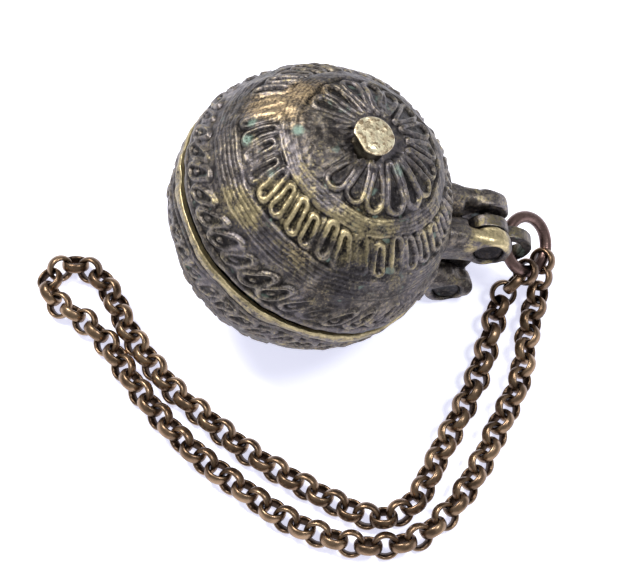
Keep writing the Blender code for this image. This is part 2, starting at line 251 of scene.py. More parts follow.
class Nodes:
    """Short calls for building a material's nodes."""

    def __init__(self, name):
        self.material = bpy.data.materials.new(name)
        self.material.use_nodes = True
        self.tree = self.material.node_tree
        self.shader = self.tree.nodes["Principled BSDF"]
        self.place = self.add("ShaderNodeTexCoord").outputs["Object"]

    def add(self, kind, **settings):
        node = self.tree.nodes.new(kind)
        for key, value in settings.items():
            setattr(node, key, value)
        return node

    def join(self, value, socket):
        if isinstance(value, bpy.types.NodeSocket):
            self.tree.links.new(value, socket)
        else:
            socket.default_value = value

    def noise(self, size, detail=3.0, roughness=0.55, offset=0.0):
        """Noise from 0 to 1 with features of a size in metres."""
        shift = self.add("ShaderNodeVectorMath", operation="ADD")
        self.join(self.place, shift.inputs[0])
        shift.inputs[1].default_value = (offset, offset, offset)
        node = self.add("ShaderNodeTexNoise")
        self.join(shift.outputs[0], node.inputs["Vector"])
        node.inputs["Scale"].default_value = 1 / size
        node.inputs["Detail"].default_value = detail
        node.inputs["Roughness"].default_value = roughness
        return node.outputs["Fac"]

    def mask(self, name):
        return self.add("ShaderNodeAttribute", attribute_name=name).outputs["Fac"]

    def maths(self, operation, a, b=0.0):
        node = self.add("ShaderNodeMath", operation=operation)
        self.join(a, node.inputs[0])
        self.join(b, node.inputs[1])
        return node.outputs[0]

    def scaled(self, value, factor, offset=0.0):
        """value times factor plus offset."""
        node = self.add("ShaderNodeMath", operation="MULTIPLY_ADD")
        for number, socket in zip((value, factor, offset), node.inputs):
            self.join(number, socket)
        return node.outputs[0]

    def ramp(self, value, low, high):
        """0 below low, 1 above high, smooth between; low may be above high."""
        node = self.add("ShaderNodeMapRange", interpolation_type="SMOOTHSTEP")
        self.join(value, node.inputs["Value"])
        node.inputs["From Min"].default_value = min(low, high)
        node.inputs["From Max"].default_value = max(low, high)
        node.inputs["To Min"].default_value = float(low > high)
        node.inputs["To Max"].default_value = float(low <= high)
        return node.outputs["Result"]

    def mix(self, share, a, b):
        node = self.add("ShaderNodeMix", data_type="RGBA", clamp_factor=True)
        self.join(share, node.inputs["Factor"])
        for value, socket in ((a, node.inputs[6]), (b, node.inputs[7])):
            self.join((*value, 1) if isinstance(value, tuple) else value, socket)
        return node.outputs[2]

    def finish(self, colour, roughness, metallic, bump, depth):
        self.join(colour, self.shader.inputs["Base Color"])
        self.join(roughness, self.shader.inputs["Roughness"])
        self.join(metallic, self.shader.inputs["Metallic"])
        node = self.add("ShaderNodeBump")
        node.inputs["Strength"].default_value = 1.0
        node.inputs["Distance"].default_value = depth
        self.join(bump, node.inputs["Height"])
        self.join(node.outputs["Normal"], self.shader.inputs["Normal"])
        return self.material


# Grey-violet patina clouds: partly the metal's own tone, partly a painted sheen standing for reflections of the
# white surroundings
GREY_PATINA_AND_SHEEN = (0.18, 0.165, 0.185)
TAN_FLECK = (0.31, 0.255, 0.195)
SOOT = (0.045, 0.036, 0.032)
# Pale grey for raised relief: a painted highlight on the ridges, not wear
RIDGE_HIGHLIGHT_GREY = (0.42, 0.375, 0.32)
TAN_DARK = (0.26, 0.19, 0.12)
TAN_LIGHT = (0.66, 0.5, 0.3)
# Near black, for dirt and painted shade
DIRT_AND_SHADE = (0.012, 0.011, 0.011)
VERDIGRIS = (0.2, 0.29, 0.235)
OLIVE_SHARE = 0.52


def old_brass(name, dark, light, brass, wear_shift=0.0):
    """Cast brass under a dark patina: brass shows where it is worn, dirt with painted shade and verdigris fill
    the hollows, ridges get a painted highlight and grey clouds a painted sheen."""
    n = Nodes(name)
    grain = n.noise(0.5 * MM, 4, 0.62)
    blotch = n.noise(2.4 * MM, 3, 0.6, 0.3)
    cloud = n.noise(9 * MM, 2, 0.5, 0.7)
    worn, copper, green, hollow, high = (n.mask(m) for m in ("worn", "copper", "green", "hollow", "high"))
    fleck = n.noise(0.9 * MM, 3, 0.7, 1.1)
    patina = n.mix(n.ramp(blotch, 0.35, 0.68), dark, light)
    # Grey-violet clouds: patina tone and painted sheen of reflections
    patina = n.mix(n.scaled(n.ramp(cloud, 0.4, 0.64), 0.6), patina, GREY_PATINA_AND_SHEEN)
    patina = n.mix(n.scaled(n.ramp(fleck, 0.5, 0.64), 0.55), patina, TAN_FLECK)
    patina = n.mix(n.scaled(n.ramp(fleck, 0.48, 0.36), 0.6), patina, SOOT)
    # Ridges are lightened whether worn or not: a painted highlight
    ridge = n.maths("MULTIPLY", high, n.ramp(grain, 0.35, 0.66))
    patina = n.mix(n.scaled(ridge, 0.5), patina, RIDGE_HIGHLIGHT_GREY)
    wear = n.maths("ADD", worn, n.scaled(grain, 1.2, wear_shift - 0.6))
    wear = n.maths("ADD", wear, n.scaled(blotch, 1.2, -0.6))
    wear = n.maths("ADD", wear, n.scaled(high, 0.1))
    olive = tuple(OLIVE_SHARE * c for c in brass)
    colour = n.mix(n.ramp(wear, 0.1, 0.5), patina, olive)
    colour = n.mix(n.ramp(wear, 0.38, 1.0), colour, brass)
    tan = n.mix(n.ramp(grain, 0.38, 0.62), TAN_DARK, TAN_LIGHT)
    share = n.ramp(n.maths("ADD", copper, n.scaled(grain, 0.8, -0.4)), 0.35, 1.0)
    colour = n.mix(n.maths("MULTIPLY", share, n.ramp(blotch, 0.22, 0.5)), colour, tan)
    # Dirt and painted shade where the mask is set, broken up by the grain
    dirt_and_shade_share = n.maths("MULTIPLY", hollow, n.ramp(grain, 1.0, 0.4))
    colour = n.mix(n.scaled(dirt_and_shade_share, 0.93), colour, DIRT_AND_SHADE)
    speck = n.maths("MULTIPLY", n.ramp(n.noise(3.1 * MM, 2, 0.5, 1.9), 0.63, 0.72), hollow)
    green = n.maths("MAXIMUM", n.maths("MULTIPLY", green, n.ramp(grain, 0.3, 0.55)), n.scaled(speck, 0.5))
    colour = n.mix(green, colour, VERDIGRIS)
    rough = n.maths("SUBTRACT", n.scaled(grain, 0.26, 0.32), n.scaled(n.ramp(wear, 0.5, 1.0), 0.06))
    metallic = n.scaled(green, -0.9, 1.0)
    bump = n.maths("ADD", n.scaled(fleck, 0.6), n.scaled(blotch, 0.8))
    return n.finish(colour, rough, metallic, bump, 0.2 * MM)


def chain_copper():
    """Antiqued coppery brass: brown in general and brighter in places, with painted shade on the inner side of
    each link.
    """
    n = Nodes("chain_copper")
    grain = n.noise(0.5 * MM, 3, 0.6)
    blotch = n.noise(2.6 * MM, 2, 0.5, 0.4)
    drift = n.noise(14 * MM, 2, 0.5, 0.9)
    inner = n.mask("hollow")
    colour = n.mix(n.ramp(blotch, 0.35, 0.65), (0.12, 0.078, 0.05), (0.27, 0.178, 0.112))
    colour = n.mix(n.maths("MULTIPLY", n.ramp(drift, 0.4, 0.7), 0.45), colour, (0.42, 0.29, 0.18))
    colour = n.mix(n.maths("MULTIPLY", n.ramp(grain, 0.55, 0.75), 0.4), colour, (0.08, 0.045, 0.03))
    # Painted shade on each link's inner side, where the links hang through each other
    colour = n.mix(n.maths("MULTIPLY", inner, 0.85), colour, (0.03, 0.018, 0.014))
    return n.finish(colour, n.scaled(grain, 0.18, 0.24), 1.0, grain, 0.04 * MM)


def ring_bronze():
    """Smooth dark brown wire, a little brighter where it rubs."""
    n = Nodes("ring_bronze")
    grain = n.noise(0.6 * MM, 3, 0.6)
    cloud = n.noise(4 * MM, 2, 0.5, 0.2)
    colour = n.mix(n.ramp(cloud, 0.35, 0.65), (0.1, 0.062, 0.055), (0.2, 0.13, 0.115))
    colour = n.mix(n.maths("MULTIPLY", n.ramp(grain, 0.52, 0.7), 0.5), colour, (0.06, 0.04, 0.035))
    return n.finish(colour, n.scaled(grain, 0.25, 0.22), 1.0, grain, 0.05 * MM)


def knob_brass():
    """Pale worn brass face, pitted and mottled brown, with painted shade round the neck and under the head."""
    n = Nodes("knob_brass")
    grain = n.noise(0.8 * MM, 4, 0.7)
    blotch = n.noise(1.5 * MM, 3, 0.6, 0.5)
    colour = n.mix(n.ramp(blotch, 0.36, 0.64), (0.98, 0.9, 0.64), (0.76, 0.63, 0.42))
    colour = n.mix(n.ramp(grain, 0.47, 0.62), colour, (0.34, 0.25, 0.15))
    # Painted shade on the head's side, under it and round the neck
    colour = n.mix(n.maths("MULTIPLY", n.mask("hollow"), 0.95), colour, (0.02, 0.016, 0.013))
    return n.finish(colour, n.scaled(grain, 0.25, 0.27), 1.0, n.maths("ADD", blotch, grain), 0.12 * MM)


PATINA = old_brass("patinated_brass", (0.052, 0.046, 0.044), (0.18, 0.162, 0.148), (0.72, 0.6, 0.35))
LINK_BRASS = old_brass("link_brass", (0.05, 0.044, 0.036), (0.15, 0.13, 0.1), (0.4, 0.34, 0.2), -0.12)
PIN_BRASS = old_brass("pin_brass", (0.014, 0.012, 0.011), (0.04, 0.033, 0.028), (0.2, 0.15, 0.09), -0.3)
KNOB_BRASS = knob_brass()
RING_BRONZE = ring_bronze()
CHAIN_COPPER = chain_copper()

# ---- chain

LINK_RADIUS = 2.2 * MM
LINK_RADIAL = 0.55 * MM
LINK_AXIAL = 1.0 * MM
LINK_PITCH = 3.26 * MM
LINK_STEPS = 36
LINK_SIDES = 14
# A link's section: how thick its inner half is beside its outer half, and how round its corners are
LINK_INNER_SHARE = 0.75
LINK_BOXY = 0.85
# How many links at each end the ring holds off the table, and how far the others lie above it
HELD_LINKS = 4
TABLE_GAP = 0.03 * MM
ROUTE_STEP = 1.0 * MM
# The route along the table from the ring and back, the same points as the solid model's
CHAIN_ROUTE = (
    (0.0283, -0.0044, 0.0036), (0.0259, -0.0111, 0.0028), (0.0241, -0.0171, 0.0026),
    (0.0209, -0.0258, 0.0026), (0.0166, -0.0343, 0.0026), (0.0127, -0.0416, 0.0026),
    (0.0087, -0.0493, 0.0026), (0.0042, -0.0528, 0.0026), (-0.0002, -0.0531, 0.0026),
    (-0.0052, -0.0510, 0.0026), (-0.0117, -0.0471, 0.0026), (-0.0182, -0.0428, 0.0026),
    (-0.0248, -0.0378, 0.0026), (-0.0315, -0.0315, 0.0026), (-0.0374, -0.0258, 0.0026),
    (-0.0423, -0.0191, 0.0026), (-0.0468, -0.0119, 0.0026), (-0.0505, -0.0033, 0.0026),
    (-0.0542, 0.0014, 0.0026), (-0.0587, 0.0032, 0.0026), (-0.0626, -0.0002, 0.0026),
    (-0.0614, -0.0052, 0.0026), (-0.0563, -0.0090, 0.0026), (-0.0506, -0.0152, 0.0026),
    (-0.0452, -0.0241, 0.0026), (-0.0383, -0.0335, 0.0026), (-0.0315, -0.0408, 0.0026),
    (-0.0239, -0.0472, 0.0026), (-0.0156, -0.0535, 0.0026), (-0.0072, -0.0574, 0.0026),
    (0.0002, -0.0589, 0.0026), (0.0077, -0.0577, 0.0026), (0.0146, -0.0523, 0.0026),
    (0.0204, -0.0438, 0.0026), (0.0252, -0.0345, 0.0026), (0.0298, -0.0250, 0.0026),
    (0.0318, -0.0162, 0.0026), (0.0340, -0.0084, 0.0027), (0.0353, -0.0050, 0.0030),
)


def smooth_route(points, step):
    """Points a step apart along a Catmull-Rom curve through the route's points."""
    knots = [Vector(p) for p in points]
    knots = [2 * knots[0] - knots[1]] + knots + [2 * knots[-1] - knots[-2]]
    fine = []
    for a, b, c, d in zip(knots, knots[1:], knots[2:], knots[3:]):
        for i in range(16):
            t = i / 16
            curve = 2 * b + (c - a) * t + (2 * a - 5 * b + 4 * c - d) * t**2 + (3 * b - 3 * c + d - a) * t**3
            fine.append(curve / 2)
    fine.append(knots[-2])
    return evenly_spaced(fine, step)


def evenly_spaced(line, step):
    """The points of a line taken again at even steps, as near to the wanted step as fits."""
    line = np.array([tuple(p) for p in line])
    lengths = np.concatenate(([0], np.cumsum(np.linalg.norm(np.diff(line, axis=0), axis=1))))
    count = round(lengths[-1] / step)
    targets = np.linspace(0, lengths[-1], count + 1)
    return np.stack([np.interp(targets, lengths, line[:, k]) for k in range(3)], axis=1)


def node_circle(node):
    """The centre, axis, middle radius and wire radius of a ring-shaped CAD node."""
    places = vertex_places(frame["nodes"][node].data)
    centre = (places.min(0) + places.max(0)) / 2
    for _ in range(3):
        axis = np.linalg.svd(places - centre, full_matrices=False)[2][2]
        flat = places - centre - np.outer((places - centre) @ axis, axis)
        reach = np.linalg.norm(flat, axis=1)
        centre = centre + (flat[reach > 0.98 * reach.max()]).mean(0)
    return centre, axis, (reach.max() + reach.min()) / 2, (reach.max() - reach.min()) / 2


def link_places(centre, along, axis):
    """Points of one link round an axis: its section is flat inside and round outside."""
    along = unit(along)
    axis = unit(axis - along * (axis @ along))
    across = np.cross(axis, along)
    turn = np.linspace(0, 2 * pi, LINK_STEPS, endpoint=False)[:, None]
    side = np.linspace(0, 2 * pi, LINK_SIDES, endpoint=False)[None, :]
    thickness = LINK_RADIAL * np.where(np.cos(side) < 0, LINK_INNER_SHARE, 1.0)
    reach = LINK_RADIUS + thickness * boxy(np.cos(side), LINK_BOXY)
    sideways = LINK_AXIAL * boxy(np.sin(side), LINK_BOXY)
    spin = np.cos(turn)[..., None] * along + np.sin(turn)[..., None] * across
    places = centre + reach[..., None] * spin + sideways[..., None] * axis
    # The side facing the link's hole is marked for painted shade
    inner = np.broadcast_to(smoothstep(-np.cos(side), -0.1, 0.7), places.shape[:2])
    return places, inner


def half_height(axis):
    """How far a link with this axis reaches below its centre."""
    lean = abs(axis[2])
    level = math.sqrt(max(0.0, 1 - lean**2))
    return LINK_RADIUS * level + math.hypot(LINK_RADIAL * level, LINK_AXIAL * lean)


def link_centres(first, last):
    """The links' centres, from one end link's centre along the route to the other's."""
    route = smooth_route(CHAIN_ROUTE, ROUTE_STEP)
    return evenly_spaced(np.vstack((first, route[2:-2], last)), LINK_PITCH)


def link_axes(ways):
    """Each link's axis: a quarter turn from its neighbours', with a slow drift and a little shake."""
    rng = np.random.default_rng(11)
    steps = np.arange(len(ways))
    drift = np.radians(9 * np.sin(steps * 0.21 + 0.6) + 7 * np.sin(steps * 0.083 + 2.0))
    axes = []
    for k, way in enumerate(ways):
        level = unit(np.cross(way, (0, 0, 1)))
        up = np.cross(level, way)
        roll = radians(45 if k % 2 else -45) + drift[k] + radians(rng.uniform(-6, 6))
        axes.append(cos(roll) * up + sin(roll) * level)
    return axes


def lay_on_table(centres, axes):
    """Sets the links' heights to lie on the table, apart from the ones near the ring."""
    count = len(centres)
    floor = np.array([half_height(a) for a in axes])
    lift = np.array([floor[max(0, k - 1) : k + 2].mean() for k in range(count)])
    heights = np.maximum(floor, lift) + TABLE_GAP
    steps = np.arange(count)
    ends = np.minimum(steps, count - 1 - steps)
    share = smoothstep(ends, 1.0, HELD_LINKS)
    held = centres[:, 2] + (heights - centres[:, 2]) * share
    centres[:, 2] = np.where(ends < HELD_LINKS, np.maximum(heights, held), heights)


def make_end_link(name, centre, axis, near):
    mesh = join_links(name, [link_places(centre, near - centre, axis)])
    return linked(mesh, name + "_worn", CHAIN_COPPER, "ring", "chain_copper", name)


def make_chain():
    first, first_axis, _, _ = node_circle("chain_end_link_inner")
    last, last_axis, _, _ = node_circle("chain_end_link_outer")
    centres = link_centres(first, last)
    ways = np.gradient(centres, axis=0)
    ways /= np.linalg.norm(ways, axis=1, keepdims=True)
    axes = link_axes(ways)
    lay_on_table(centres, axes)
    grids = [link_places(centres[k], ways[k], axes[k]) for k in range(1, len(centres) - 1)]
    mesh = join_links("chain_links", grids)
    chain = linked(mesh, "chain_links", CHAIN_COPPER, None, "chain_copper", "chain")
    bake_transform(chain)
    ends = [
        make_end_link("chain_end_link_inner", first, first_axis, centres[1]),
        make_end_link("chain_end_link_outer", last, last_axis, centres[-2]),
    ]


def join_links(name, grids):
    """One mesh of several links, each a closed grid of points with its inner side marked for painted shade."""
    points, faces, inner = [], [], []
    for places, inside in grids:
        start = len(points)
        points += places.reshape(-1, 3).tolist()
        inner += inside.ravel().tolist()
        for i in range(LINK_STEPS):
            for j in range(LINK_SIDES):
                below, beside = (i + 1) % LINK_STEPS, (j + 1) % LINK_SIDES
                corners = ((i, j), (below, j), (below, beside), (i, beside))
                faces.append([start + a * LINK_SIDES + b for a, b in corners])
    mesh = bpy.data.meshes.new(name)
    mesh.from_pydata(points, [], faces)
    paint(outward(mesh), hollow=np.array(inner))
    return mesh


make_chain()

# ---- ornament

GROUND = BALL_RADIUS - 0.88 * MM
INNER_RADIUS = BALL_RADIUS - 2.2 * MM
SEAM_HALF = 0.2 * MM
# The polar angles of the outside's first row, round the pole, and of its last, at the rim
POLE_START = radians(0.7)
RIM_POLAR = math.acos(SEAM_HALF / GROUND)
COLUMNS = 720
OUTER_ROWS = 220
INNER_ROWS = 22
RIM_STEPS = 8
# How many of the rim's rows, from the outside, are worn bright
RIM_BRIGHT = 4
WIRE = 0.55 * MM
RISE = 0.72 * MM
# How high the metal stands between neighbouring loops, beyond the groove round each one
BETWEEN = 0.34 * MM


def wire_height(distance, half_width, rise):
    """A round wire on the ground, at a distance from its middle line."""
    return rise * np.clip(1 - (distance / half_width) ** 2, 0, 1) ** 0.45


def teardrop(u, v, head, tail, length):
    """Distance to a teardrop's outline: a circle of radius head at v = 0 and one of radius tail at length."""
    u = np.abs(u)
    slope = (head - tail) / length
    rest = math.sqrt(1 - slope * slope)
    along = -slope * u + rest * v
    near_head = np.hypot(u, v) - head
    near_tail = np.hypot(u, v - length) - tail
    beside = rest * u + slope * v - head
    return np.where(along < 0, near_head, np.where(along > rest * length, near_tail, beside))


def loop_row(
    lon, polar, count, head_at, tail_at, head, tail, seed, lean=0.0, wire=WIRE, dot=0.0, fill=0.02 * MM
):
    """Height of a row of wire loops, and where their insides are.
    head_at and tail_at are the polar angles of each loop's two round ends."""
    rng = np.random.default_rng(seed)
    shake = rng.uniform(-1, 1, (count, 5))
    way = 1 if tail_at > head_at else -1
    length = abs(tail_at - head_at) * GROUND
    down = (polar - head_at) * GROUND * way
    ring = np.sin(polar) * GROUND
    slots = (lon / (2 * pi) + lean * down / length / count) * count
    height = np.zeros_like(polar)
    inside = np.zeros_like(polar)
    beyond = np.full_like(polar, 1.0)
    for offset in (-1, 0, 1):
        index = np.floor(slots) + offset
        k = index.astype(int) % count
        u = (slots - index - 0.5) * 2 * pi / count * ring + shake[k, 0] * 0.2 * MM
        u = u + shake[k, 4] * 0.32 * MM * down / length
        v = down + shake[k, 1] * 0.26 * MM
        grown = 1 + 0.09 * shake[k, 2]
        edge = teardrop(u / grown, v / grown, head, tail, length)
        wires = wire_height(np.abs(edge), wire, RISE * (0.97 + 0.16 * shake[k, 3]))
        inner = smoothstep(-edge, 0.5 * wire, 1.2 * wire)
        shape = np.maximum(wires, fill * inner)
        if dot:
            shape = np.maximum(shape, wire_height(np.hypot(u, v), dot, 0.85 * RISE) * inner)
            inner = inner * smoothstep(np.hypot(u, v), 0.8 * dot, 1.1 * dot)
        inside = np.maximum(inside, inner * (wires < 0.5 * RISE))
        height = np.maximum(height, shape)
        beyond = np.minimum(beyond, edge - wire)
    in_row = 1 - smoothstep(np.abs(down - length / 2), length / 2, length / 2 + head)
    return np.maximum(height, BETWEEN * in_row * smoothstep(beyond, 0.12 * MM, 0.4 * MM)), inside


def band(polar, low, high, rise, lines, depth=0.11 * MM, edge=1.2):
    """Height of a raised band between two polar angles, ruled with fine parallel grooves, and the grooves."""
    low, high, edge = radians(low), radians(high), radians(edge)
    body = smoothstep(polar, low - edge, low) * (1 - smoothstep(polar, high, high + edge))
    share = (polar - low) / (high - low)
    grooves = (0.5 - 0.5 * np.cos(2 * pi * lines * share)) ** 3
    within = (share > 0) & (share < 1)
    return body * (rise - depth * grooves * within), 0.75 * grooves * within


def layered(*rows):
    """The highest of several rows' heights, and the union of their hollows."""
    heights, hollows = zip(*rows)
    return np.maximum.reduce(heights), np.maximum.reduce(hollows)


def ball_point(polar, lon):
    """Unit vectors in the ball frame for polar angles and longitudes; the bowl's are mirrored later."""
    return np.stack((np.sin(polar) * np.cos(lon), np.sin(polar) * np.sin(lon), np.cos(polar)), axis=-1)


def patch(ways, spots, edge_noise):
    """A mask with a soft round patch at each (polar angle, longitude, radius, strength), in degrees."""
    mask = np.zeros(ways.shape[:-1])
    uneven = 1 + 0.3 * np.clip(edge_noise, -1.5, 1.5)
    for polar, lon, radius, strength in spots:
        middle = ball_point(radians(polar), radians(lon))
        away = np.degrees(np.arccos(np.clip(ways @ middle, -1, 1))) * uneven
        mask = np.maximum(mask, strength * (1 - smoothstep(away, 0.25 * radius, 1.15 * radius)))
    return mask


def spread(field, steps):
    """The mean of a field (rows, columns) over its neighbours, columns going round."""
    total = np.zeros_like(field)
    for shift in range(-steps, steps + 1):
        total += np.roll(field, shift, axis=1)
    total /= 2 * steps + 1
    padded = np.pad(total, ((steps, steps), (0, 0)), mode="edge")
    sums = np.cumsum(np.vstack((np.zeros(field.shape[1]), padded)), axis=0)
    return (sums[2 * steps + 1 :] - sums[: -2 * steps - 1]) / (2 * steps + 1)


def rosette_and_loops(lon, polar, flat):
    """The rows that both halves share, from the pole to 68 degrees: petals, band, long loops and band."""
    height, inside = layered(
        loop_row(
            lon, polar, 18, radians(27.2), radians(13.0), 1.6 * MM, 0.4 * MM, 1,
            wire=0.56 * MM, fill=0.05 * MM,
        ),
        loop_row(lon, polar, 35, radians(53.0), radians(43.6), 1.14 * MM, 0.82 * MM, 2, 0.25),
    )
    height = np.maximum(height * (1 - 0.72 * flat), 0.4 * MM * flat)
    return layered(
        (height, inside * (1 - 0.8 * flat)),
        band(polar, 33.4, 39.6, 0.56 * MM, 4, 0.2 * MM),
        band(polar, 58.2, 67.6, 0.46 * MM, 5, 0.2 * MM),
    )


def lid_height(lon, polar, flat):
    eyelets = loop_row(
        lon, polar, 36, radians(80.6), radians(75.6), 1.68 * MM, 1.1 * MM, 3, -0.35, 0.5 * MM, 0.62 * MM
    )
    return layered(
        rosette_and_loops(lon, polar, flat),
        (eyelets[0] * (1 - 0.5 * flat), eyelets[1]),
        band(polar, 86.6, 91.0, 0.4 * MM, 1, 0.0, 0.7),
    )


def bowl_height(lon, polar, flat):
    eyelets = loop_row(
        lon, polar, 39, radians(76.6), radians(72.0), 1.56 * MM, 1.05 * MM, 4, 0.35, 0.46 * MM, 0.6 * MM
    )
    roll = np.clip((polar - radians(84.2)) / radians(6.4), 0, 1)
    return layered(
        rosette_and_loops(lon, polar, flat),
        eyelets,
        band(polar, 81.6, 83.0, 0.35 * MM, 1, 0.0, 0.6),
        (0.66 * MM * np.sin(pi * roll) ** 0.5, np.zeros_like(polar)),
    )


def surface_noise(ways, size, seed):
    """Smooth noise over the outside's points (rows, columns)."""
    return ripple(ways.reshape(-1, 3) * GROUND, size, seed).reshape(ways.shape[:2])


def hand_laid(height_of, ways, polar, lon, uneven, flat):
    """The rows' height and insides, swayed as laid by hand and rubbed down in places."""
    sway = 0.006 * surface_noise(ways, 11 * MM, 22) + 0.005 * surface_noise(ways, 3.4 * MM, 26)
    bob = 0.004 * surface_noise(ways, 3.8 * MM, 27)
    height, inside = height_of(lon + sway, polar + 0.004 * uneven + bob, flat)
    rubbed = smoothstep(surface_noise(ways, 4.5 * MM, 28), 0.3, 1.9)
    return height * (1 - 0.6 * rubbed), inside


def outer_rows(ways, polar, uneven, relief, rim_drop):
    """The outside's points: the relief on a lumpy ground, turned in at the rim."""
    lumps = 0.10 * uneven + 0.045 * surface_noise(ways, 2.0 * MM, 23)
    fine = 0.028 * surface_noise(ways, 0.8 * MM, 24)
    edge = smoothstep(polar, RIM_POLAR - radians(1.3), RIM_POLAR)
    radius = GROUND + np.minimum(relief, 0.8 * MM) + (lumps + fine) * MM
    radius = np.minimum(radius, BALL_RADIUS) - rim_drop * edge**2
    outer = ways * radius[..., None]
    outer[..., 2] = np.maximum(outer[..., 2], SEAM_HALF)
    return outer


def outer_masks(ways, polar, uneven, spots, worn, raised, sunk):
    """What the material reads on the outside: wear, tan, verdigris, dirt with painted shade, and high places,
    which get a painted highlight.
    """
    dark = patch(ways, spots["dark"], uneven)
    rim_band = smoothstep(polar, radians(83.8), radians(84.8))
    rim_edge = smoothstep(polar, RIM_POLAR - radians(1.5), RIM_POLAR)
    rim_worn = spots["rim"] * (0.26 * rim_band + 0.42 * rim_edge)
    # The lid's edge at the seam: painted shade of the gap
    painted_seam_shade = smoothstep(polar, RIM_POLAR - radians(1.4), RIM_POLAR) * spots["painted_seam_shade"]
    return {
        "worn": np.maximum(worn, rim_worn),
        "copper": patch(ways, spots["copper"], uneven),
        "green": patch(ways, spots["green"], 0.2 * uneven),
        # Dirt and painted shade: recesses, the seam's edge and the dark patches
        "hollow": np.maximum(np.maximum(sunk, painted_seam_shade), 0.82 * dark),
        "high": raised * (1 - 0.7 * dark),
    }


def inner_mask(key, spots):
    """The same for the rim's rows and the inside's: a worn rim, painted shade in the seam and a dull inside."""
    rim = RIM_STEPS - 1
    mask = np.zeros((rim + INNER_ROWS, COLUMNS))
    if key == "worn":
        mask[:RIM_BRIGHT] = spots["rim"]
    if key == "hollow":
        # The rim's inner rows: painted shade of the gap under the lid
        mask[RIM_BRIGHT:rim] = 1.0
        mask[rim:] = 0.35
    return mask


def inner_rows(lon):
    """The inside's points, from the seam up to the pole."""
    polar = np.linspace(math.acos(SEAM_HALF / INNER_RADIUS), POLE_START, INNER_ROWS)[:, None]
    ways = ball_point(*np.broadcast_arrays(polar, lon))
    rough = ripple((ways * INNER_RADIUS).reshape(-1, 3), 5 * MM, 25).reshape(ways.shape[:2])
    return ways * (INNER_RADIUS + 0.06 * MM * rough * smoothstep(-polar, -1.5, -1.3))[..., None]


def shell_mesh(name, side, height_of, spots, frame_of, rim_drop):
    """Half a ball with its ornament. side is 1 for the lid and -1 for the bowl, and rim_drop is how
    much lower than the ground its rim's edge is."""
    lon = np.linspace(0, 2 * pi, COLUMNS, endpoint=False)[None, :]
    polar = np.linspace(POLE_START, RIM_POLAR, OUTER_ROWS)[:, None]
    polar, lon = np.broadcast_arrays(polar, lon)
    ways = ball_point(polar, lon)
    uneven = surface_noise(ways, 7 * MM, 21)
    flat = patch(ways, spots["flat"], uneven)
    height, inside = hand_laid(height_of, ways, polar, lon, uneven, flat)
    soft = spread(height, 1)
    close = spread(spread(height, 4), 4)
    raised = smoothstep(soft - close, -0.02 * MM, 0.3 * MM)
    # Recesses, grooves and loop insides: dirt and painted shade
    sunk = np.maximum(smoothstep(close - soft, 0.02 * MM, 0.2 * MM), 0.9 * inside)
    worn = patch(ways, spots["worn"], uneven)
    worn = np.clip(0.8 * worn * (0.7 + 0.3 * raised) + 0.06 * raised, 0, 1)
    outer = outer_rows(ways, polar, uneven, soft - 0.15 * MM * worn * raised, rim_drop)
    masks = outer_masks(ways, polar, uneven, spots, worn, raised, sunk)
    rim = rim_rows(outer[-1], lon[0], RIM_STEPS)
    places = np.concatenate((outer, rim, inner_rows(lon[:1]))) * np.array((1, 1, side))
    mesh = mesh_from_grid(name, places, wrap_rows=False, flip=side < 0, caps=True)
    mesh.transform(frame_of)
    hubs = np.zeros(len(mesh.vertices) - places.shape[0] * COLUMNS)
    for key, mask in masks.items():
        masks[key] = np.concatenate((mask.ravel(), inner_mask(key, spots).ravel(), hubs))
    paint(mesh, **masks)
    return mesh


def rim_rows(edge, lon, count):
    """Flat rows across the rim, from the outer edge in to the inner surface."""
    outer = np.hypot(edge[:, 0], edge[:, 1])
    rows = []
    for k in range(1, count):
        share = k / count
        reach = outer + (INNER_RADIUS - outer) * share
        lift = SEAM_HALF + 0.12 * MM * (1 - sin(pi * share) ** 0.3)
        rows.append(np.stack((reach * np.cos(lon), reach * np.sin(lon), np.full_like(reach, lift)), axis=-1))
    return np.array(rows)


# Where each half is flattened, worn and so on, as patch() reads it; the last two entries are strengths, of the
# rim's wear and of the painted shade at the seam
LID_SPOTS = {
    "flat": (
        (21, -166, 12, 0.75), (28, -150, 10, 0.65), (26, 172, 11, 0.7), (16, 154, 8, 0.5),
        (33, -172, 9, 0.8), (44, 162, 13, 0.6), (51, -172, 8, 0.5), (49, -155, 7, 0.4),
        (62, -92, 14, 0.6), (47, -78, 6, 0.3),
    ),
    "worn": (
        (46, -128, 16, 0.85), (40, -110, 13, 0.75), (42, -98, 12, 0.6), (63, -146, 11, 0.9),
        (50, -70, 12, 0.4), (31, -104, 9, 0.3), (60, -118, 14, 0.35), (37, -40, 14, 0.3),
        (51, -147, 10, 0.8), (38, -80, 10, 0.5),
    ),
    "copper": (
        (43, 160, 12, 0.95), (37, 145, 13, 1.0), (32, 134, 9, 0.7), (35, 173, 7, 0.5), (51, 156, 8, 0.45),
        (58, -118, 15, 0.5), (70, -104, 14, 0.4), (53, -150, 9, 0.4),
    ),
    # Darker patina patches; the largest, low on the lid's front, also paints the shade of the side turned from the
    # key light
    "dark": (
        (62, -90, 17, 1.0), (56, -68, 11, 0.85), (67, -112, 9, 0.6), (24, -165, 13, 0.55), (52, 178, 7, 0.5),
        (22, 60, 19, 0.5), (24, 125, 15, 0.45), (22, 0, 15, 0.4), (60, 150, 12, 0.4),
    ),
    "green": (
        (53, -178, 3, 1.0), (51.5, 172, 2.6, 1.0), (33, -179, 2.6, 1.0), (15, -57, 3, 0.7),
        (47, -156, 2, 0.5),
    ),
    "rim": 0.1,
    "painted_seam_shade": 1.0,
}
